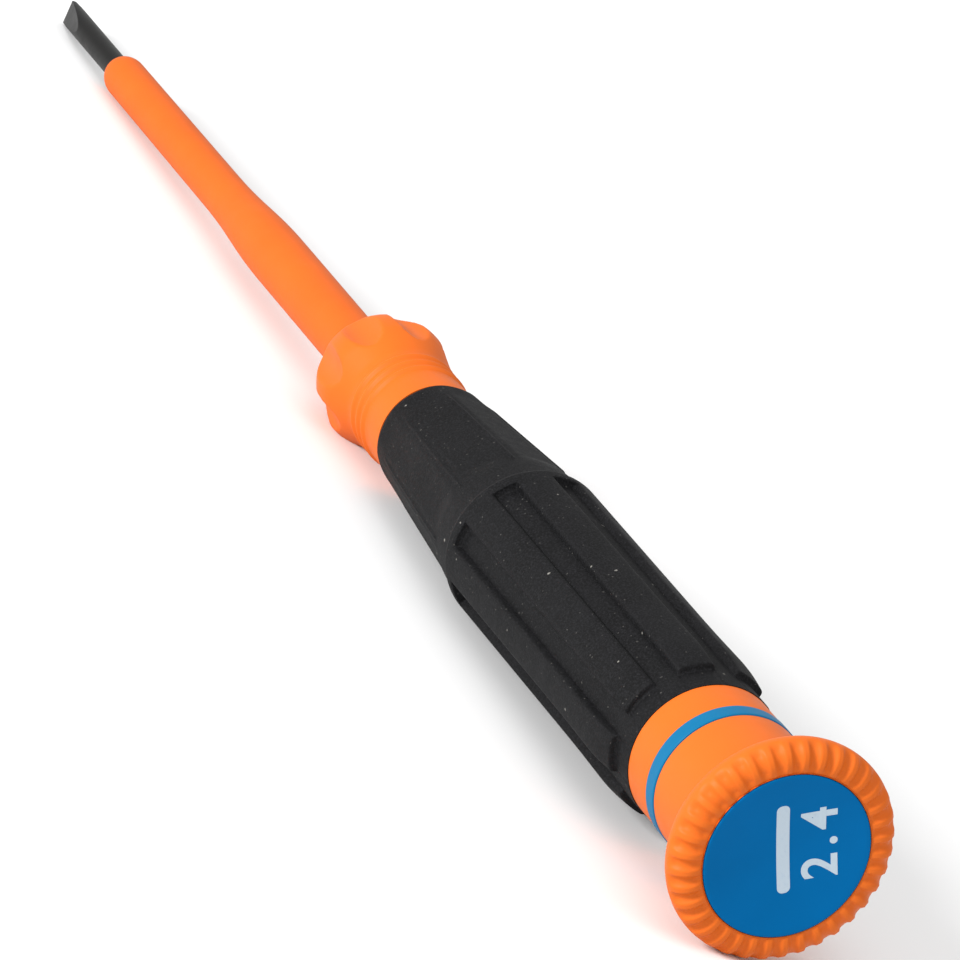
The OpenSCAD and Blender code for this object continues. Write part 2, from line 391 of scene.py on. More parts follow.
@dataclass(frozen=True)
class OxideSteel:
    """Blackened tool steel with faint grinding lines across the blade."""

    name: str
    colour: Colour
    stretch: Triple = (9.0, 0.6, 0.6)
    metallic: float = 0.75
    roughness: float = 0.44
    line_depth: float = 0.004
    pit_size: float = 0.09
    pit_depth: float = 0.003

    def material(self) -> bpy.types.Material:
        """Build the material.

        Returns:
            The material.
        """
        graph = Graph(self.name)
        place = graph.place_mm()
        stretch = graph.add("ShaderNodeMapping", None, {"Vector": place, "Scale": self.stretch}).out(0)
        lines = graph.noise(stretch, 1.0, 4.0, 0.7)
        cloud = graph.noise(place, 1.2, 3.0)
        pits = graph.noise(place, self.pit_size, 2.0)
        body = graph.mix(cloud.ramp(0.3, 0.7), scaled(self.colour, 0.75), scaled(self.colour, 1.35))
        colour = graph.mix(lines.ramp(0.55, 0.8) * 0.4, body, scaled(self.colour, 2.2))
        gloss = self.roughness + (cloud - 0.5) * 0.2 + (lines - 0.5) * 0.15
        scored = graph.bump(lines, self.line_depth)
        normal = graph.bump(pits, self.pit_depth, scored)
        return graph.finish({
            "Base Color": colour, "Metallic": self.metallic, "Roughness": gloss.clamped(), "Normal": normal,
        })


@dataclass(frozen=True)
class TurnedSteel:
    """Bright turned steel with fine rings round the tool's axis."""

    name: str
    colour: Colour
    stretch: Triple = (14.0, 0.4, 0.4)
    roughness: float = 0.26
    cut_depth: float = 0.002

    def material(self) -> bpy.types.Material:
        """Build the material.

        Returns:
            The material.
        """
        graph = Graph(self.name)
        place = graph.place_mm()
        rings = graph.add("ShaderNodeMapping", None, {"Vector": place, "Scale": self.stretch}).out(0)
        cut = graph.noise(rings, 1.0, 3.0, 0.6)
        colour = graph.mix(cut.ramp(0.3, 0.7), scaled(self.colour, 0.88), scaled(self.colour, 1.05))
        gloss = self.roughness + (cut - 0.5) * 0.2
        return graph.finish({
            "Base Color": colour, "Metallic": 1.0, "Roughness": gloss.clamped(),
            "Normal": graph.bump(cut, self.cut_depth),
        })


@dataclass(frozen=True)
class PrintedInk:
    """Pad-printed ink: matt, slightly uneven in cover."""

    name: str
    colour: Colour
    ground: Colour
    roughness: float = 0.5
    wear: float = 0.18
    grain_depth: float = 0.003

    def material(self) -> bpy.types.Material:
        """Build the material, with the ground showing a little where the ink is thin.

        Returns:
            The material.
        """
        graph = Graph(self.name)
        place = graph.place_mm()
        cover = graph.noise(place, 0.35, 3.0, 0.6)
        grain = graph.noise(place, 0.1, 2.0)
        colour = graph.mix(cover.ramp(0.55, 0.85) * self.wear, self.colour, self.ground)
        return graph.finish({
            "Base Color": colour, "Roughness": (self.roughness + (grain - 0.5) * 0.2).clamped(),
            "Normal": graph.bump(grain, self.grain_depth),
        })


class Finish(Enum):
    """Every finish on the tool."""

    ORANGE = MouldedPlastic("handle_orange", linear(206, 97, 27), 0.48, 0.2, 0.006, 0.03)
    SLEEVE = MouldedPlastic("sleeve_orange", linear(206, 93, 25), 0.55, 0.24, 0.009, 0.035)
    PALE = MouldedPlastic("washer_cream", linear(236, 230, 212), 0.5, 0.2, 0.003, 0.03)
    RING = MouldedPlastic("band_blue", linear(0, 98, 140), 0.42, 0.2, 0.003, 0.03)
    DISC = MouldedPlastic("insert_blue", linear(0, 94, 152), 0.4, 0.3, 0.002, 0.03, specular=0.03)
    RUBBER = SoftRubber("soft_black", linear(8, 8, 9), linear(140, 137, 131))
    BLACK_STEEL = OxideSteel("oxide_black", linear(23, 22, 21))
    BRIGHT_STEEL = TurnedSteel("turned_bright", linear(205, 205, 208))
    INK = PrintedInk("pad_print", linear(174, 189, 201), linear(30, 110, 170))

    @cache
    def material(self) -> bpy.types.Material:
        """Build this finish's material, once."""
        return self.value.material()

    def on(self, piece: bpy.types.Object) -> None:
        """Give a piece this finish as its only material.

        Args:
            piece: The piece.
        """
        piece.data.materials.clear()
        piece.data.materials.append(self.material())
        for face in piece.data.polygons:
            face.material_index = 0


# ---- shaping

FILLET_SHARE = 0.49
"""Largest share of a straight stretch that one fillet may take."""

WELD = 1e-5
"""Points closer together than this are one point."""


@dataclass(frozen=True)
class Corner:
    """A corner of a turned outline: its station, its radius and the fillet that rounds it."""

    x: float
    r: float
    fillet: float = 0.0


Outline = list[tuple[float, float]]
Shaper = Callable[[float, float, float], float]


def outline(corners: Sequence[Corner], longest: float = 1e9, arc_steps: int = 6) -> Outline:
    """Turn corners into outline points.

    Args:
        corners: The corners in order.
        longest: Straight stretches are divided to be no longer than this.
        arc_steps: Number of steps in each fillet.

    Returns:
        Points of station and radius.
    """
    rounded: Outline = []
    for index, corner in enumerate(corners):
        here = Vector((corner.x, corner.r))
        if corner.fillet <= 0.0 or index in (0, len(corners) - 1):
            rounded.append((here.x, here.y))
            continue
        before = Vector((corners[index - 1].x, corners[index - 1].r)) - here
        after = Vector((corners[index + 1].x, corners[index + 1].r)) - here
        reach = min(corner.fillet, before.length * FILLET_SHARE, after.length * FILLET_SHARE)
        start, end = here + before.normalized() * reach, here + after.normalized() * reach
        for step in range(arc_steps + 1):
            t = step / arc_steps
            point = start * (1 - t) ** 2 + here * (2 * t * (1 - t)) + end * t ** 2
            rounded.append((point.x, point.y))
    points: Outline = [rounded[0]]
    for there in rounded[1:]:
        here = points[-1]
        pieces = max(1, math.ceil(math.dist(here, there) / longest))
        for step in range(1, pieces + 1):
            t = step / pieces
            points.append((here[0] + (there[0] - here[0]) * t, here[1] + (there[1] - here[1]) * t))
    return points


def smooth_step(low: float, high: float, at: float) -> float:
    """Return a smooth rise from 0 at low to 1 at high."""
    t = min(max((at - low) / (high - low), 0.0), 1.0)
    return t * t * (3.0 - 2.0 * t)


def soft_min(first: float, second: float, blend: float) -> float:
    """Return the smaller of two values, rounded over a blend width where they meet."""
    h = max(blend - abs(first - second), 0.0) / blend
    return min(first, second) - h * h * blend * 0.25


def from_nearest(angle: float, count: int) -> float:
    """Return the signed angle in degrees from the nearest of count even places."""
    pitch = 360.0 / count
    return (angle + pitch / 2) % pitch - pitch / 2



def to_object(name: str, shape: bmesh.types.BMesh, crease: float = 0.0) -> bpy.types.Object:
    """Write a shape drawn in millimetres to a new object in metres.

    Args:
        name: The piece's name.
        shape: The shape, which is freed.
        crease: Edges sharper than this many degrees stay sharp; with 0 the piece is shaded flat.

    Returns:
        The object, at the origin.
    """
    bmesh.ops.remove_doubles(shape, verts=shape.verts, dist=WELD)
    bmesh.ops.recalc_face_normals(shape, faces=shape.faces)
    bmesh.ops.transform(shape, matrix=Matrix.Scale(MM, 4), verts=shape.verts)
    for face in shape.faces:
        face.smooth = crease > 0.0
    mesh = bpy.data.meshes.new(name)
    shape.to_mesh(mesh)
    shape.free()
    if crease > 0.0:
        mesh.set_sharp_from_angle(angle=math.radians(crease))
    piece = bpy.data.objects.new(name, mesh)
    bpy.context.collection.objects.link(piece)
    return piece


def turned(
    points: Outline, steps: int, closed: bool = True, shaper: Shaper | None = None
) -> bmesh.types.BMesh:
    """Spin an outline about the tool's axis.

    Args:
        points: Stations and radii in order.
        steps: Number of steps round the axis.
        closed: Whether the last point joins the first, as on a piece with a bore.
        shaper: Takes a station, an angle in degrees from +Z towards -Y and a radius, and
            returns the radius wanted there.

    Returns:
        The spun shape in millimetres.
    """
    shape = bmesh.new()
    ring = [shape.verts.new((x, 0.0, r)) for x, r in points]
    edges = [shape.edges.new(pair) for pair in zip(ring, ring[1:])]
    if closed:
        edges.append(shape.edges.new((ring[-1], ring[0])))
    bmesh.ops.spin(shape, geom=ring + edges, cent=(0, 0, 0), axis=(1, 0, 0), angle=math.tau, steps=steps,
                   use_merge=True)
    if shaper is not None:
        for vert in shape.verts:
            x, y, z = vert.co
            radius = math.hypot(y, z)
            if radius < WELD:
                continue
            angle = math.degrees(math.atan2(-y, z))
            factor = shaper(x, angle, radius) / radius
            vert.co = (x, y * factor, z * factor)
    return shape


@dataclass(frozen=True)
class Span:
    """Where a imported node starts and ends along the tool, and its largest radius."""

    start: float
    end: float
    radius: float

    @classmethod
    def of(cls, node: str) -> "Span":
        """Measure a node of the frame."""
        low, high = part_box(node)
        return cls(low.x / MM, high.x / MM, max(high.y, high.z) / MM)


class Body(Enum):
    """The two bodies that the cap's joint connects."""

    HANDLE = "handle"
    CAP = "cap"


def dress(piece: bpy.types.Object, finish: Finish, slot: str, body: Body, *nodes: str) -> None:
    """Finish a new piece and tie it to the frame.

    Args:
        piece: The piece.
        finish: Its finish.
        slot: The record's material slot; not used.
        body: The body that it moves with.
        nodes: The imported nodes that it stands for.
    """
    finish.on(piece)
    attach(piece, body.value)
    if nodes:
        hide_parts(*nodes)
    log.info("%s: %d faces, rides on %s", piece.name, len(piece.data.polygons), body.value)


def refinish(node: str, finish: Finish) -> None:
    """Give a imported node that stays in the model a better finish."""
    finish.on(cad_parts[node])
    log.info("%s: packed node kept, refinished", node)


# ---- the blade and its insulation


@dataclass
class Blade:
    """The black steel shank, ground to a slotted tip."""

    radius: float = 1.19
    shank_radius: float = 1.7
    step_front: float = 34.2
    step_length: float = 9.2
    step_round: float = 4.0
    tip_thickness: float = 0.4
    tip_ease: float = 0.05
    tip_margin: float = 0.06
    bevel_length: float = 5.4
    bevel_margin: float = 0.3
    bevel_rings: int = 36
    wing_size: Triple = (7.9, 1.1, 5.9)
    wing_middle: float = 7.4
    wing_ease: float = 0.25
    steps: int = 128
    span: Span = field(default_factory=lambda: Span.of("blade"))

    def build(self) -> None:
        """Build the blade in full, with its stepped shank and anti-turn wings."""
        step_end = Span.of("handle_core").end + self.step_front
        start, end = self.span.start, self.span.end
        corners = outline([
            Corner(start, 0.0), Corner(start, self.shank_radius, 0.2),
            Corner(step_end - self.step_length, self.shank_radius, self.step_round),
            Corner(step_end, self.radius, self.step_round), Corner(end - 0.04, self.radius, self.tip_ease),
            Corner(end, self.radius - self.tip_ease), Corner(end, 0.0),
        ], 1.5)
        shape = turned(self._with_rings(corners), self.steps, closed=False)
        for vert in shape.verts:
            half = self._half_thickness(vert.co.x)
            if abs(vert.co.y) > half:
                vert.co.y = math.copysign(half, vert.co.y)
        piece = to_object("blade_steel", shape, 32.0)
        dress(piece, Finish.BLACK_STEEL, "black_steel", Body.HANDLE, "blade")
        self._wings()

    def _with_rings(self, points: Outline) -> Outline:
        """Put close rings along the ground faces.

        Args:
            points: The blade's outline.

        Returns:
            The outline with the rings.
        """
        start, end = self.span.end - self.bevel_length, self.span.end - self.tip_margin
        length = self.bevel_length - self.tip_margin
        fine = [(start + length * i / self.bevel_rings, self.radius) for i in range(-1, self.bevel_rings)]
        before = [p for p in points if p[0] < start - self.bevel_margin]
        return before + fine + [p for p in points if p[0] > end]

    def _half_thickness(self, x: float) -> float:
        """Return half the blade's thickness at a station, without limit behind the ground faces.

        Args:
            x: The station.

        Returns:
            Half the thickness.
        """
        from_tip, half = self.span.end - x, self.tip_thickness / 2
        if from_tip > self.bevel_length:
            return math.inf
        return half + (self.radius - half) * from_tip / self.bevel_length

    def _wings(self) -> None:
        """Build the flattened wings, buried in the handle, that stop the shank turning."""
        shape = bmesh.new()
        bmesh.ops.create_cube(shape, size=1.0)
        bmesh.ops.scale(shape, vec=self.wing_size, verts=shape.verts)
        bmesh.ops.translate(shape, vec=(self.span.start + self.wing_middle, 0, 0), verts=shape.verts)
        bmesh.ops.bevel(shape, geom=shape.edges[:], offset=self.wing_ease, segments=3, profile=0.5,
                        affect="EDGES", material=-1)
        dress(to_object("blade_wings", shape), Finish.BLACK_STEEL, "black_steel", Body.HANDLE)


@dataclass
class Insulation:
    """The orange sleeve on the shank and the pale layer beneath it."""

    cone_length: float = 9.2
    cone_round: float = 3.4
    thick_length: float = 25.0
    slim_radius: float = 2.11
    end_radius: float = 2.03
    nose_length: float = 1.9
    nose_share: float = 0.46
    bore: float = 1.2
    lip: float = 0.12
    lip_length: float = 1.6
    inner_wall: float = 0.36
    inner_step: float = 0.5
    root_step: float = 0.2
    root_gap: float = 0.35
    clearance: float = 0.002
    steps: int = 160
    span: Span = field(default_factory=lambda: Span.of("shank_sleeve"))

    def build(self) -> None:
        """Build the outer sleeve and refinish the inner layer."""
        exposed = Span.of("handle_core").end
        cone = exposed + self.thick_length
        slim = cone + self.cone_length
        end, radius = self.span.end, self.span.radius - self.clearance
        root = self.span.radius - self.root_step
        nose = [
            (end - self.nose_length * (1 - math.sin(math.radians(a))),
             self.end_radius - self.nose_length * self.nose_share * (1 - math.cos(math.radians(a))))
            for a in range(0, 91, 9)
        ]
        body = outline([
            Corner(self.span.start, root), Corner(exposed - self.root_gap, root),
            Corner(exposed - self.root_gap, radius), Corner(cone, radius, self.cone_round),
            Corner(slim, self.slim_radius, self.cone_round), Corner(end - self.nose_length, self.end_radius),
        ], 1.0, 10)
        inner = self.bore + self.inner_wall
        bore = [
            (end - self.lip, self.bore), (end - self.lip_length, self.bore),
            (end - self.lip_length, inner), (slim, inner),
            (cone, inner + self.inner_step), (self.span.start, inner + self.inner_step),
        ]
        piece = to_object("sleeve_outer", turned(body[:-1] + nose + bore, self.steps), 50.0)
        dress(piece, Finish.SLEEVE, "orange_plastic", Body.HANDLE, "shank_sleeve")
        refinish("inner_insulation", Finish.PALE)


# ---- the handle


@dataclass
class HandleCore:
    """The hard orange core: neck, ring seat, slim nose with three beads, and the lobed guard."""

    neck_radius: float = 6.7
    groove_depth: float = 0.7
    groove_ease: float = 0.02
    seat_radius: float = 5.7
    seat_end: float = 59.0
    seat_tip: float = 3.95
    nose_radius: float = 4.9
    nose_swell: float = 0.12
    nose_flare: float = 0.06
    ring_pitch: float = 0.09
    beads: int = 3
    bead_height: float = 0.26
    bead_half_width: float = 0.42
    bead_pitch: float = 1.24
    bead_back: float = 0.45
    bead_shape: float = 1.3
    guard_radius: float = 6.13
    guard_back: float = 5.5
    guard_start: float = 4.7
    lobes: int = 8
    scoop_radius: float = 2.4
    scoop_slope: float = 6.5
    scoop_rear: float = 2.9
    scoop_start: float = 0.52
    scoop_blend: float = 0.09
    mouth_radius: float = 2.66
    mouth_depth: float = 0.36
    sleeve_bore: float = 2.5
    sleeve_depth: float = 11.0
    shank_bore: float = 1.7
    shank_depth: float = 38.0
    pin_bore: float = 1.5
    pin_depth: float = 12.5
    recess_radius: float = 4.6
    recess_depth: float = 0.5
    steps: int = 240
    span: Span = field(default_factory=lambda: Span.of("handle_core"))
    grip: Span = field(default_factory=lambda: Span.of("grip_sleeve"))
    ring: Span = field(default_factory=lambda: Span.of("colour_ring"))

    @property
    def guard_x(self) -> float:
        """Station of the guard's centre."""
        return self.span.end - self.guard_back

    def build(self) -> None:
        """Build the core as one turned and scooped piece."""
        points = self._rear() + self._nose() + self._guard() + self._bores()
        piece = to_object("core_moulding", turned(points, self.steps, shaper=self._shape), 55.0)
        dress(piece, Finish.ORANGE, "orange_plastic", Body.HANDLE, "handle_core")

    def _rear(self) -> Outline:
        """Draw the neck, the ring's groove and the seat that the rubber is moulded on.

        Returns:
            The outline, from the rear face to the foot of the nose.
        """
        seat = self.neck_radius - self.groove_depth
        return outline([
            Corner(self.span.start, self.recess_radius), Corner(self.span.start, self.neck_radius, 0.35),
            Corner(self.ring.start - self.groove_ease, self.neck_radius, 0.08), Corner(self.ring.start, seat),
            Corner(self.ring.end, seat), Corner(self.ring.end + self.groove_ease, self.neck_radius, 0.08),
            Corner(self.grip.start, self.neck_radius), Corner(self.grip.start, self.seat_radius),
            Corner(self.seat_end, self.seat_radius), Corner(self.grip.end, self.seat_tip),
            Corner(self.grip.end, self.nose_radius + self.nose_swell, 0.1),
        ], 1.2)

    def _nose(self) -> Outline:
        """Draw the slim nose with its beads.

        Returns:
            The outline, from the grip to the guard.
        """
        start, end = self.grip.end + 0.3, self.guard_x - self.guard_start
        points: Outline = []
        count = round((end - start) / self.ring_pitch)
        for index in range(1, count):
            x = start + (end - start) * index / count
            sag = self.nose_swell * (1 - smooth_step(start, end - 2.0, x))
            radius = self.nose_radius + (sag + self.nose_flare * smooth_step(end - 2.4, end + 1.2, x))
            for bead in range(self.beads):
                off = abs(x - (end - self.bead_back - bead * self.bead_pitch)) / self.bead_half_width
                if off < 1.0:
                    radius += self.bead_height * math.cos(off * math.pi / 2) ** self.bead_shape
            points.append((x, radius))
        return points

    def _guard(self) -> Outline:
        """Draw the guard's slope behind and its round front.

        Returns:
            The outline, from the nose to the sleeve.
        """
        rear = outline([
            Corner(self.guard_x - self.guard_start, self.nose_radius + 0.02),
            Corner(self.guard_x - 3.9, self.nose_radius + 0.06, 0.7),
            Corner(self.guard_x - 1.6, self.guard_radius - 0.26, 1.0),
        ], 0.16)
        angles = [math.radians(100 - step * 1.55) for step in range(48)]
        centre, radius = self.guard_x, self.guard_radius
        top = [(centre + radius * math.cos(a), radius * math.sin(a)) for a in angles]
        return rear + [point for point in top if point[1] > self.mouth_radius]

    def _bores(self) -> Outline:
        """Draw the bores for the sleeve, the shank and the pivot pin.

        Returns:
            The outline, from the front mouth to the rear recess.
        """
        start, end = self.span.start, self.span.end
        return [
            (end - self.mouth_depth, self.mouth_radius), (end - self.mouth_depth, self.sleeve_bore),
            (end - self.sleeve_depth, self.sleeve_bore), (end - self.sleeve_depth, self.shank_bore),
            (end - self.shank_depth, self.shank_bore), (end - self.shank_depth, self.pin_bore),
            (start + self.pin_depth, self.pin_bore), (start + self.recess_depth, self.pin_bore),
            (start + self.recess_depth, self.recess_radius),
        ]

    def _shape(self, x: float, angle: float, radius: float) -> float:
        """Take the guard's scoops out.

        Args:
            x: The station.
            angle: The angle round the axis.
            radius: The radius before.

        Returns:
            The radius left.
        """
        if x < self.guard_x - self.scoop_rear - 2.0 or radius < self.mouth_radius + 0.04:
            return radius
        off = math.radians(from_nearest(angle, self.lobes))
        tilt = math.radians(self.scoop_slope)
        top = self.guard_radius - self.scoop_start + self.scoop_radius / math.cos(tilt)
        k = (x - (self.guard_x - self.scoop_rear)) * math.sin(tilt) - top * math.cos(tilt)
        c, s = math.cos(off) * math.cos(tilt), math.sin(off)
        under = k * k * c * c - (c * c + s * s) * (k * k - self.scoop_radius ** 2)
        if under <= 0.0:
            return radius
        cut = (-k * c - math.sqrt(under)) / (c * c + s * s)
        return max(soft_min(radius, cut, self.scoop_blend), self.mouth_radius)


@dataclass
class SoftGrip:
    """The black rubber moulded over the core: eight pads behind, eight flats in front."""

    pads: int = 8
    pad_radius: float = 7.5
    swell: float = 0.13
    crown: float = 0.07
    floor_radius: float = 6.78
    channel_half: float = 1.15
    channel_start: float = 20.9
    channel_end: float = 57.6
    edge: float = 0.1
    shoulder: float = 59.1
    taper_start: float = 62.8
    taper_radius: float = 6.8
    lip_radius: float = 5.3
    flat_share: float = 0.962
    flat_blend: float = 0.05
    ridge_height: float = 0.13
    ridge_half: float = 0.22
    wall_radius: float = 5.72
    wall_end: float = 59.0
    wall_tip: float = 3.97
    steps: int = 360
    span: Span = field(default_factory=lambda: Span.of("grip_sleeve"))

    def build(self) -> None:
        """Build the grip as one shaped piece with its inner wall."""
        points = self._outside()
        points += [(self.span.end, self.wall_tip), (self.wall_end, self.wall_radius),
                   (self.span.start, self.wall_radius)]
        piece = to_object("grip_rubber", turned(points, self.steps, shaper=self._shape), 60.0)
        dress(piece, Finish.RUBBER, "black_rubber", Body.HANDLE, "grip_sleeve")

    def _outside(self) -> Outline:
        """Draw the outside over the pads, with close rings where a step crosses it.

        Returns:
            The outline, from the rear end to the lip in front.
        """
        start, end = self.span.start, self.span.end
        coarse = outline([
            Corner(start, 6.5), Corner(start, 6.86, 0.2), Corner(start + 0.55, 6.92, 0.2),
            Corner(start + 0.8, 6.82, 0.2), Corner(self.channel_start - 0.5, 7.0),
            Corner(self.channel_start, 7.32),
            Corner(self.channel_start + 3.0, self.pad_radius + self.swell, 2.5),
            Corner(self.channel_start + 10.0, self.pad_radius, 3.0),
            Corner(self.shoulder - 0.35, self.pad_radius - 0.02, 0.12),
            Corner(self.shoulder + 0.1, 7.24, 0.3),
            Corner(self.taper_start, self.taper_radius, 0.9), Corner(end - 0.5, self.lip_radius, 0.6),
            Corner(end, self.lip_radius - 0.4, 0.2), Corner(end, 4.4),
        ], 0.5, 8)
        rings = [step + offset for step in (self.channel_start, self.channel_end)
                 for offset in (-0.18, -0.06, 0.06, 0.18)]
        points: Outline = [coarse[0]]
        for there in coarse[1:]:
            here = points[-1]
            for ring in rings:
                if here[0] + 1e-4 < ring < there[0] - 1e-4:
                    t = (ring - here[0]) / (there[0] - here[0])
                    points.append((ring, here[1] + (there[1] - here[1]) * t))
            points.append(there)
        return points

    def _shape(self, x: float, angle: float, radius: float) -> float:
        """Cut the channels and the pads' square ends, and leave the front to its flats.

        Args:
            x: The station.
            angle: The angle round the axis.
            radius: The radius before.

        Returns:
            The radius wanted.
        """
        if radius < 6.0 and x < self.shoulder or radius < 4.5:
            return radius
        if x > self.shoulder:
            return self._flattened(x, angle, radius)
        across = abs(math.radians(from_nearest(angle, self.pads))) * self.pad_radius
        in_channel = 1.0 - smooth_step(self.channel_half - self.edge, self.channel_half + self.edge, across)
        on_pad_length = smooth_step(self.channel_start - self.edge, self.channel_start + self.edge, x)
        beyond = smooth_step(self.channel_end - self.edge, self.channel_end + self.edge, x)
        floor = min(radius, self.floor_radius)
        channel = floor + (radius - floor) * beyond
        pad = floor + (radius - floor) * on_pad_length
        crown = 1.0 - smooth_step(self.channel_half, self.channel_half + 0.5, across)
        return channel * in_channel + (pad - self.crown * crown * (1 - beyond)) * (1.0 - in_channel)

    def _flattened(self, x: float, angle: float, radius: float) -> float:
        """Cut the tapered front to flats and leave a thin ridge on each edge between them.

        Args:
            x: The station.
            angle: The angle round the axis.
            radius: The radius before.

        Returns:
            The radius wanted.
        """
        off = math.radians(from_nearest(angle, self.pads))
        flat = radius * self.flat_share / math.cos(off)
        amount = smooth_step(self.taper_start - 0.9, self.taper_start + 1.6, x)
        amount *= 1.0 - 0.75 * smooth_step(self.span.end - 2.4, self.span.end - 0.4, x)
        shaped = radius + (soft_min(radius, flat, self.flat_blend) - radius) * amount
        corner = abs(math.radians(from_nearest(angle + 180.0 / self.pads, self.pads))) * radius
        ridge = 1.0 - smooth_step(self.ridge_half * 0.35, self.ridge_half, corner)
        ridge *= smooth_step(self.taper_start - 0.3, self.taper_start + 0.5, x)
        ridge *= 1.0 - smooth_step(self.span.end - 5.0, self.span.end - 2.2, x)
        return shaped + self.ridge_height * ridge


@dataclass
class ColourRing:
    """The blue ring let into the neck."""

    inner_radius: float = 6.02
    set_in: float = 0.02
    gap: float = 0.03
    ease: float = 0.16
    steps: int = 200
    span: Span = field(default_factory=lambda: Span.of("colour_ring"))

    def build(self) -> None:
        """Build the ring with rounded edges."""
        low, high = self.span.start + self.gap, self.span.end - self.gap
        radius = self.span.radius - self.set_in
        points = outline([
            Corner(low, self.inner_radius), Corner(low, radius, self.ease), Corner(high, radius, self.ease),
            Corner(high, self.inner_radius),
        ], 0.4, 5)
        piece = to_object("ring_band", turned(points, self.steps), 50.0)
        dress(piece, Finish.RING, "ring_blue", Body.HANDLE, "colour_ring")


# ---- the spinning cap


@dataclass
class SpinningCap:
    """The fluted cap with its disc, symbol and numerals, turning on a bush."""

    flutes: int = 36
    flute_depth: float = 0.32
    flute_share: float = 0.66
    flute_shape: float = 0.9
    rim_round: float = 1.7
    rim_set: float = 0.03
    neck_radius: float = 6.7
    well_radius: float = 7.42
    well_depth: float = 1.0
    hub_radius: float = 3.62
    hub_depth: float = 2.95
    bush_bore: float = 2.42
    disc_radius: float = 7.37
    disc_set: float = 0.1
    disc_steps: int = 192
    dish: float = 0.55
    dish_radius: float = 7.1
    dish_rings: int = 18
    turn: float = -26.6
    mark_along: float = 0.5
    symbol_size: tuple[float, float] = (8.1, 1.15)
    symbol_across: float = -0.2
    numeral_size: float = 4.3
    numeral_spacing: float = 1.32
    numeral_weight: float = 0.08
    numeral_across: float = 3.12
    ink: float = 0.03
    steps_per_flute: int = 14
    span: Span = field(default_factory=lambda: Span.of("spin_cap"))

    def build(self) -> None:
        """Build the cap and everything that turns with it."""
        self._rim()
        self._disc()
        self._symbol()
        self._numerals("2.4")
        refinish("cap_bush", Finish.PALE)

    @property
    def crest_radius(self) -> float:
        """Radius of the circle that the rim's round section is centred on."""
        return self.span.radius - self.rim_round

    def _section(self, angle: float) -> tuple[float, float]:
        """Find a point of the rim's round section.

        Args:
            angle: Degrees from straight out towards the end face.

        Returns:
            Its station and radius.
        """
        a = math.radians(angle)
        x = self.rim_set + self.rim_round * (1 - math.sin(a))
        return (x, self.crest_radius + self.rim_round * math.cos(a))

    def _rim(self) -> None:
        """Build the cap's shell, with flutes pressed into its rounded rim."""
        far, neck, well = self.span.end, self.neck_radius, self.well_radius
        lip = [Corner(self.well_depth, well), Corner(0.16, well, 0.06), Corner(0.09, 7.58, 0.1)]
        round_part = [self._section(118.0 - step * 3.4) for step in range(53)]
        under = outline([
            Corner(*round_part[-1]), Corner(far - 1.35, neck + 0.8, 0.5), Corner(far - 0.6, neck + 0.12, 0.4),
            Corner(far - 0.1, neck - 0.02, 0.1), Corner(far, neck - 0.2),
        ], 0.3)
        inside = [(far, self.bush_bore), (self.hub_depth, self.bush_bore), (self.hub_depth, self.hub_radius),
                  (self.well_depth, self.hub_radius)]
        points = outline(lip, 0.2, 3)[:-1] + round_part + under[1:] + inside
        shape = turned(points, self.flutes * self.steps_per_flute)
        for vert in shape.verts:
            self._press_flute(vert)
        piece = to_object("cap_shell", shape, 60.0)
        dress(piece, Finish.ORANGE, "orange_plastic", Body.CAP, "spin_cap")

    def _press_flute(self, vert: bmesh.types.BMVert) -> None:
        """Move one point of the rim inwards where a flute crosses it.

        Args:
            vert: The point, which stays where it is if it isn't on the rounded rim.
        """
        x, y, z = vert.co
        radius = math.hypot(y, z)
        out = Vector((self.rim_set + self.rim_round - x, radius - self.crest_radius))
        if abs(out.length - self.rim_round) > 0.02:
            return
        section = math.degrees(math.atan2(out.x, out.y))
        lens = smooth_step(0.0, 36.0, section) * (1.0 - smooth_step(94.0, 124.0, section))
        half_flute = 180.0 / self.flutes * self.flute_share
        off = abs(from_nearest(math.degrees(math.atan2(-y, z)), self.flutes)) / half_flute
        hollow = max(0.0, 1.0 - off * off) ** self.flute_shape
        move = -self.flute_depth * lens * hollow
        out.normalize()
        factor = (radius + move * out.y) / radius
        vert.co = (x - move * out.x, y * factor, z * factor)

    def _hollow(self, radius: float) -> float:
        """Return how deep the disc's dished face is at a radius."""
        return self.dish * max(0.0, 1.0 - (radius / self.dish_radius) ** 2)

    def _disc(self) -> None:
        """Build the blue disc, its edge eased and its dished face set just below the rim."""
        face, rings = self.disc_set, self.dish_rings
        bowl = [(face + self._hollow(r), r) for r in (self.dish_radius * i / rings for i in range(rings))]
        points = bowl + outline([
            Corner(face, self.dish_radius), Corner(face, self.disc_radius, 0.14),
            Corner(self.well_depth, self.disc_radius), Corner(self.well_depth, 0.0),
        ], 0.8, 5)
        piece = to_object("disc_insert", turned(points, self.disc_steps, closed=False), 50.0)
        dress(piece, Finish.DISC, "disc_blue", Body.CAP, "cap_disc")

    def _lay(self, shape: bmesh.types.BMesh, across: float) -> None:
        """Lay a flat drawing on the disc.

        Args:
            shape: A drawing in X and Y with its face towards +Z.
            across: How far its middle is moved to the right of the disc's own.
        """
        stand = Matrix(((0, 0, -1, 0), (-1, 0, 0, 0), (0, 1, 0, 0), (0, 0, 0, 1)))
        turn = Matrix.Rotation(math.radians(self.turn), 4, "X")
        place = Matrix.Translation((self.disc_set, 0, 0)) @ turn @ stand
        move = Matrix.Translation((across, self.mark_along, 0))
        bmesh.ops.transform(shape, matrix=place @ move, verts=shape.verts)
        for vert in shape.verts:
            vert.co.x += self._hollow(math.hypot(vert.co.y, vert.co.z))

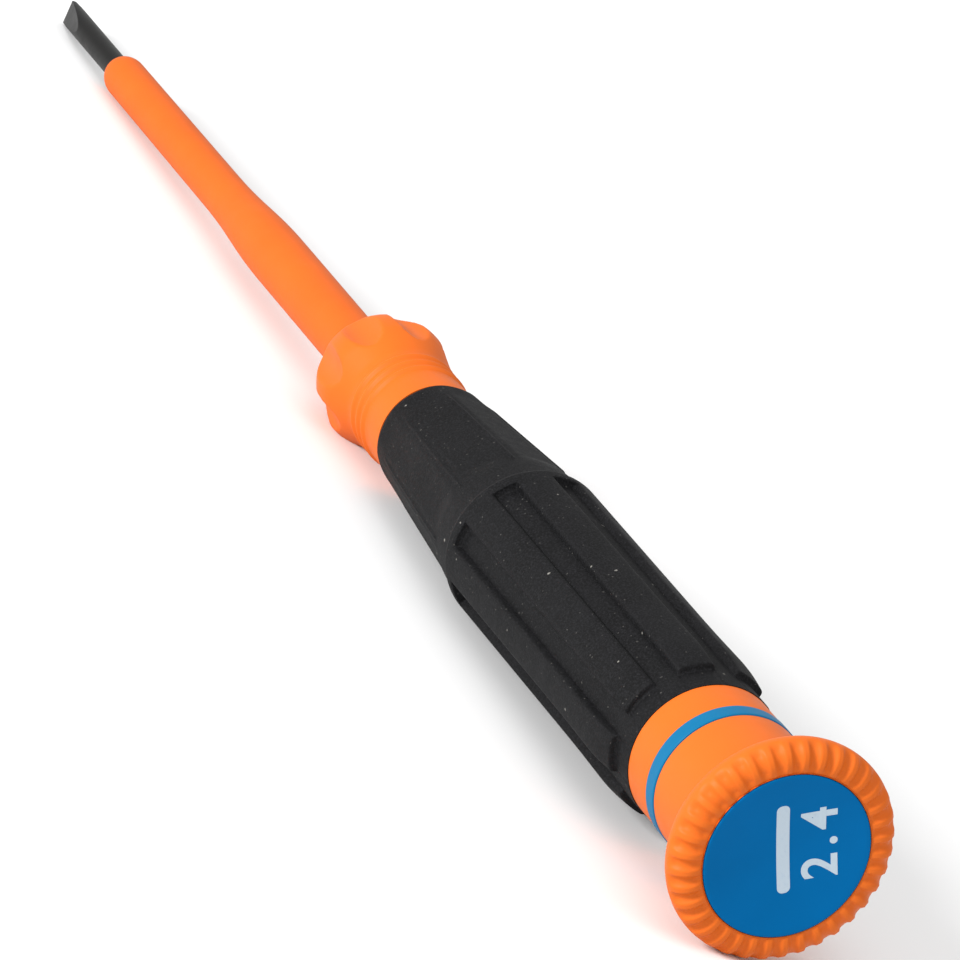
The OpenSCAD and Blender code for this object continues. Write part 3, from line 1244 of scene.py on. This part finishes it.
    def _symbol(self) -> None:
        """Build the white bar that stands for a slotted tip."""
        length, width = self.symbol_size
        shape = bmesh.new()
        bmesh.ops.create_cube(shape, size=1.0)
        bmesh.ops.scale(shape, vec=(width, length, self.ink), verts=shape.verts)
        upright = [e for e in shape.edges if abs((e.verts[0].co - e.verts[1].co).z) > self.ink * 0.5]
        bmesh.ops.bevel(shape, geom=upright, offset=width * 0.42, segments=8, profile=0.5, affect="EDGES",
                        material=-1)
        lengthwise = [e for e in shape.edges if abs((e.verts[0].co - e.verts[1].co).y) > length * 0.5]
        bmesh.ops.subdivide_edges(shape, edges=lengthwise, cuts=9, use_grid_fill=True)
        self._lay(shape, self.symbol_across)
        dress(to_object("slot_symbol", shape), Finish.INK, "mark_white", Body.CAP, "slot_mark")

    def _numerals(self, text: str) -> None:
        """Build the tip's size as plain numerals that read along the symbol.

        Args:
            text: The numerals.
        """
        letters = bpy.data.curves.new("size_letters", "FONT")
        letters.body = text
        letters.size = self.numeral_size
        letters.align_x, letters.align_y = "CENTER", "CENTER"
        letters.space_character = self.numeral_spacing
        letters.offset = self.numeral_weight
        letters.extrude = self.ink / 2
        letters.resolution_u = 6
        draft = bpy.data.objects.new("size_letters", letters)
        bpy.context.collection.objects.link(draft)
        bpy.context.view_layer.update()
        mesh = bpy.data.meshes.new_from_object(draft)
        shape = bmesh.new()
        shape.from_mesh(mesh)
        bpy.data.objects.remove(draft)
        bpy.data.meshes.remove(mesh)
        bmesh.ops.rotate(shape, matrix=Matrix.Rotation(math.radians(90), 3, "Z"), verts=shape.verts)
        self._lay(shape, self.numeral_across)
        dress(to_object("size_numerals", shape), Finish.INK, "mark_white", Body.CAP)


@dataclass
class Pivot:
    """The pin and washers that the cap turns on, out of sight inside it."""

    steel: tuple[str, ...] = ("pivot_pin", "head_washer")
    plastic: tuple[str, ...] = ("thrust_washer",)

    def build(self) -> None:
        """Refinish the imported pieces, whose turned shapes are already right."""
        for nodes, finish in ((self.steel, Finish.BRIGHT_STEEL), (self.plastic, Finish.PALE)):
            for node in nodes:
                refinish(node, finish)


# ---- the studio


@dataclass(frozen=True)
class Lamp:
    """A soft round light."""

    name: str
    place: Triple
    """Its direction as seen by the camera: right, up and towards the camera."""

    reach: float
    """Its distance in metres."""

    size: float
    """Its width in metres."""

    power: float
    """Its power in watts."""


@dataclass
class Studio:
    """A pale floor that the tool rests on, soft lights and the camera."""

    azimuth: float = 240.06
    elevation: float = 15.47
    roll: float = 24.7
    aim: Triple = (90.12, -10.98, -5.13)
    distance: float = 890.0
    lens: float = 373.9
    sky: float = 0.78
    lamps: tuple[Lamp, ...] = (
        Lamp("key_light", (-0.68, 0.58, 0.8), 1.1, 0.36, 14.0),
        Lamp("fill_light", (0.45, 0.8, 0.9), 1.2, 1.0, 3.2),
    )
    floor_size: float = 3000.0
    floor_gap: float = 0.05
    floor_greys: tuple[float, float] = (0.86, 0.88)

    def build(self) -> None:
        """Build the floor, the lights, the sky and the camera."""
        bpy.context.scene.view_settings.view_transform = "Standard"
        self._camera()
        self._floor()
        self._sky()
        for lamp in self.lamps:
            self._hang(lamp)

    def _back(self) -> Vector:
        """Return the direction from the tool to the camera."""
        a, e = math.radians(self.azimuth), math.radians(self.elevation)
        return Vector((math.sin(a) * math.cos(e), -math.cos(a) * math.cos(e), math.sin(e)))

    def _turn(self) -> Quaternion:
        """Return the camera's turn, with its roll."""
        upright = (-self._back()).to_track_quat("-Z", "Y")
        return upright @ Quaternion((0, 0, 1), math.radians(self.roll))

    def _camera(self) -> None:
        """Place the camera."""
        data = bpy.data.cameras.new("camera")
        data.sensor_width = 36.0
        data.lens = self.lens
        data.clip_start, data.clip_end = 0.05, 20.0
        camera = bpy.data.objects.new("camera", data)
        camera.rotation_mode = "QUATERNION"
        camera.rotation_quaternion = self._turn()
        camera.location = (Vector(self.aim) + self._back() * self.distance) * MM
        bpy.context.collection.objects.link(camera)
        bpy.context.scene.camera = camera

    def _floor(self) -> None:
        """Lay the floor under the two places that the tool rests on: its cap and its sleeve's end."""
        cap, sleeve = Span.of("spin_cap"), Span.of("shank_sleeve")
        rear_x, front_x = cap.start + 1.7, sleeve.end - 1.9
        slope = math.atan2(cap.radius - 2.1, front_x - rear_x)
        shape = bmesh.new()
        bmesh.ops.create_grid(shape, x_segments=1, y_segments=1, size=self.floor_size)
        bmesh.ops.rotate(shape, matrix=Matrix.Rotation(-slope, 3, "Y"), verts=shape.verts)
        bmesh.ops.translate(shape, vec=(rear_x, 0, -cap.radius - self.floor_gap), verts=shape.verts)
        floor = to_object("floor", shape)
        graph = Graph("floor_paint")
        cloud = graph.noise(graph.place_mm(), 60.0, 3.0)
        tone = graph.mix(cloud, *((grey, grey, grey, 1.0) for grey in self.floor_greys))
        floor.data.materials.append(graph.finish({"Base Color": tone, "Roughness": 0.9}))
        floor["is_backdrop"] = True

    def _sky(self) -> None:
        """Light everything softly from all round."""
        world = bpy.data.worlds.new("studio_sky")
        bpy.context.scene.world = world
        world.use_nodes = True
        background = world.node_tree.nodes["Background"]
        background.inputs[0].default_value = (1.0, 1.0, 1.0, 1.0)
        background.inputs[1].default_value = self.sky

    def _hang(self, lamp: Lamp) -> None:
        """Hang one lamp, aimed at the tool.

        Args:
            lamp: The lamp.
        """
        data = bpy.data.lights.new(lamp.name, "AREA")
        data.shape = "DISK"
        data.size = lamp.size
        data.energy = lamp.power
        light = bpy.data.objects.new(lamp.name, data)
        direction = (self._turn() @ Vector(lamp.place)).normalized()
        light.location = Vector(self.aim) * MM + direction * lamp.reach
        light.rotation_mode = "QUATERNION"
        light.rotation_quaternion = direction.to_track_quat("Z", "Y")
        bpy.context.collection.objects.link(light)


def write_sizes() -> None:
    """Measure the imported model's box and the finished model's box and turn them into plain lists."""
    boxes = {"cad": CAD_BOX, "visual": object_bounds()}
    plain = {name: [list(corner) for corner in box] for name, box in boxes.items()}


def main() -> None:
    """Build every sub-assembly in order."""
    logging.basicConfig(level=logging.INFO, format="%(message)s")
    for part in (Studio, Blade, Insulation, HandleCore, SoftGrip, ColourRing, Pivot, SpinningCap):
        log.info("building %s", part.__name__)
        part().build()
    write_sizes()


if __name__ == "__main__":
    main()
